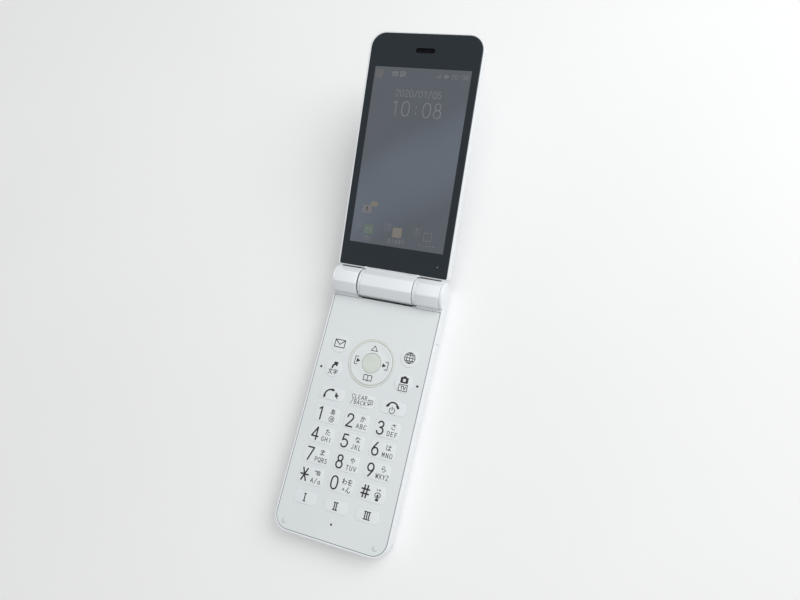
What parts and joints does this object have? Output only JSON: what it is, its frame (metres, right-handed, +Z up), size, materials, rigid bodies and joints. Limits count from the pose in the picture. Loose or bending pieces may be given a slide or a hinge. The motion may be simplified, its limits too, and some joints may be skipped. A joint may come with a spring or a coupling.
{
  "type": "flip phone",
  "caption": "Open clamshell mobile phone with a pressing keypad, a rocking four-way key, a side key and a display half that folds shut on a barrel hinge.",
  "frame": {"origin": "on the back face of the keypad half, midway along and across that half", "axes": "+X to the right seen from the keys, +Y from the keypad toward the hinge and display half, +Z up out of the keys"},
  "size_m": [0.0503, 0.2111, 0.0417],
  "materials": {
    "case_white": "smooth white moulding",
    "panel_white": "cool white satin face",
    "trim_grey": "pale grey satin",
    "dark_glass": "polished dark glass",
    "display": "dim lit display",
    "steel": "plain steel",
    "aluminium": "plain aluminium",
    "board_green": "coated board",
    "black_plastic": "black moulding",
    "pad_rubber": "soft grey pad",
    "cable_film": "amber film",
    "lamp_clear": "clear light pipe"
  },
  "bodies": {
    "base": {"front_case": "case_white", "rear_case": "case_white", "keypad_panel": "panel_white", "battery_pack": "aluminium", "main_board": "board_green", "dome_sheet": "steel", "shield_can": "steel", "loudspeaker": "black_plastic", "vibration_motor": "steel", "microphone": "black_plastic", "charging_socket": "steel", "camera_module": "black_plastic", "camera_window": "dark_glass", "case_screws": "steel", "cushion_pads": "pad_rubber", "hinge_cartridge": "steel", "hinge_bush": "steel", "hinge_caps": "case_white", "cable_tail": "cable_film", "nav_trim": "trim_grey"},
    "lid": {"lid_frame": "case_white", "lid_cover": "case_white", "cover_glass": "dark_glass", "display_panel": "display", "display_tray": "aluminium", "earpiece": "black_plastic", "earpiece_mesh": "steel", "lid_board": "board_green", "status_lamp": "lamp_clear", "lid_screws": "steel", "outer_window": "dark_glass", "hinge_shaft": "steel", "cable_coil": "cable_film"},
    "battery_cover": {"battery_cover": "case_white"},
    "nav_carrier": {"nav_carrier": "black_plastic"},
    "nav_key": {"nav_key": "panel_white"},
    "key_select": {"key_select": "trim_grey"},
    "side_key": {"side_key": "case_white"},
    "key_mail": {"key_mail": "panel_white"},
    "key_web": {"key_web": "panel_white"},
    "key_text": {"key_text": "panel_white"},
    "key_camera": {"key_camera": "panel_white"},
    "key_1": {"key_1": "panel_white"},
    "key_2": {"key_2": "panel_white"},
    "key_3": {"key_3": "panel_white"},
    "key_4": {"key_4": "panel_white"},
    "key_5": {"key_5": "panel_white"},
    "key_6": {"key_6": "panel_white"},
    "key_7": {"key_7": "panel_white"},
    "key_8": {"key_8": "panel_white"},
    "key_9": {"key_9": "panel_white"},
    "key_star": {"key_star": "panel_white"},
    "key_0": {"key_0": "panel_white"},
    "key_hash": {"key_hash": "panel_white"},
    "key_call": {"key_call": "panel_white"},
    "key_clear": {"key_clear": "panel_white"},
    "key_end": {"key_end": "panel_white"},
    "key_memory_1": {"key_memory_1": "panel_white"},
    "key_memory_2": {"key_memory_2": "panel_white"},
    "key_memory_3": {"key_memory_3": "panel_white"}
  },
  "joints": [
    {"name": "lid_hinge", "type": "hinge", "parent": "base", "child": "lid", "pos_m": [0, 0.05063, 0.0106], "axis": [1, 0, 0], "range_deg": [0, 163.4]},
    {"name": "battery_cover_lift", "type": "slide", "parent": "base", "child": "battery_cover", "axis": [0, 0, -1], "range_m": [0, 0.012]},
    {"name": "side_key_press", "type": "slide", "parent": "base", "child": "side_key", "axis": [-1, 0, 0], "range_m": [0, 0.00035], "stiffness_N_per_m": 4000},
    {"name": "nav_rock_up_down", "type": "hinge", "parent": "base", "child": "nav_carrier", "pos_m": [0, 0.01707, 0.00725], "axis": [1, 0, 0], "range_deg": [-1.3, 1.3], "stiffness_Nm_per_rad": 0.34},
    {"name": "nav_rock_left_right", "type": "hinge", "parent": "nav_carrier", "child": "nav_key", "pos_m": [0, 0.01707, 0.00725], "axis": [0, 1, 0], "range_deg": [-1.3, 1.3], "stiffness_Nm_per_rad": 0.34},
    {"name": "key_select_press", "type": "slide", "parent": "base", "child": "key_select", "axis": [0, 0, -1], "range_m": [0, 0.0003], "stiffness_N_per_m": 3000},
    {"name": "key_mail_press", "type": "slide", "parent": "base", "child": "key_mail", "axis": [0, 0, -1], "range_m": [0, 0.0003], "stiffness_N_per_m": 3000},
    {"name": "key_web_press", "type": "slide", "parent": "base", "child": "key_web", "axis": [0, 0, -1], "range_m": [0, 0.0003], "stiffness_N_per_m": 3000},
    {"name": "key_text_press", "type": "slide", "parent": "base", "child": "key_text", "axis": [0, 0, -1], "range_m": [0, 0.0003], "stiffness_N_per_m": 3000},
    {"name": "key_camera_press", "type": "slide", "parent": "base", "child": "key_camera", "axis": [0, 0, -1], "range_m": [0, 0.0003], "stiffness_N_per_m": 3000},
    {"name": "key_1_press", "type": "slide", "parent": "base", "child": "key_1", "axis": [0, 0, -1], "range_m": [0, 0.0003], "stiffness_N_per_m": 3000},
    {"name": "key_2_press", "type": "slide", "parent": "base", "child": "key_2", "axis": [0, 0, -1], "range_m": [0, 0.0003], "stiffness_N_per_m": 3000},
    {"name": "key_3_press", "type": "slide", "parent": "base", "child": "key_3", "axis": [0, 0, -1], "range_m": [0, 0.0003], "stiffness_N_per_m": 3000},
    {"name": "key_4_press", "type": "slide", "parent": "base", "child": "key_4", "axis": [0, 0, -1], "range_m": [0, 0.0003], "stiffness_N_per_m": 3000},
    {"name": "key_5_press", "type": "slide", "parent": "base", "child": "key_5", "axis": [0, 0, -1], "range_m": [0, 0.0003], "stiffness_N_per_m": 3000},
    {"name": "key_6_press", "type": "slide", "parent": "base", "child": "key_6", "axis": [0, 0, -1], "range_m": [0, 0.0003], "stiffness_N_per_m": 3000},
    {"name": "key_7_press", "type": "slide", "parent": "base", "child": "key_7", "axis": [0, 0, -1], "range_m": [0, 0.0003], "stiffness_N_per_m": 3000},
    {"name": "key_8_press", "type": "slide", "parent": "base", "child": "key_8", "axis": [0, 0, -1], "range_m": [0, 0.0003], "stiffness_N_per_m": 3000},
    {"name": "key_9_press", "type": "slide", "parent": "base", "child": "key_9", "axis": [0, 0, -1], "range_m": [0, 0.0003], "stiffness_N_per_m": 3000},
    {"name": "key_star_press", "type": "slide", "parent": "base", "child": "key_star", "axis": [0, 0, -1], "range_m": [0, 0.0003], "stiffness_N_per_m": 3000},
    {"name": "key_0_press", "type": "slide", "parent": "base", "child": "key_0", "axis": [0, 0, -1], "range_m": [0, 0.0003], "stiffness_N_per_m": 3000},
    {"name": "key_hash_press", "type": "slide", "parent": "base", "child": "key_hash", "axis": [0, 0, -1], "range_m": [0, 0.0003], "stiffness_N_per_m": 3000},
    {"name": "key_call_press", "type": "slide", "parent": "base", "child": "key_call", "axis": [0, 0, -1], "range_m": [0, 0.0003], "stiffness_N_per_m": 3000},
    {"name": "key_clear_press", "type": "slide", "parent": "base", "child": "key_clear", "axis": [0, 0, -1], "range_m": [0, 0.0003], "stiffness_N_per_m": 3000},
    {"name": "key_end_press", "type": "slide", "parent": "base", "child": "key_end", "axis": [0, 0, -1], "range_m": [0, 0.0003], "stiffness_N_per_m": 3000},
    {"name": "key_memory_1_press", "type": "slide", "parent": "base", "child": "key_memory_1", "axis": [0, 0, -1], "range_m": [0, 0.0003], "stiffness_N_per_m": 3000},
    {"name": "key_memory_2_press", "type": "slide", "parent": "base", "child": "key_memory_2", "axis": [0, 0, -1], "range_m": [0, 0.0003], "stiffness_N_per_m": 3000},
    {"name": "key_memory_3_press", "type": "slide", "parent": "base", "child": "key_memory_3", "axis": [0, 0, -1], "range_m": [0, 0.0003], "stiffness_N_per_m": 3000}
  ]
}
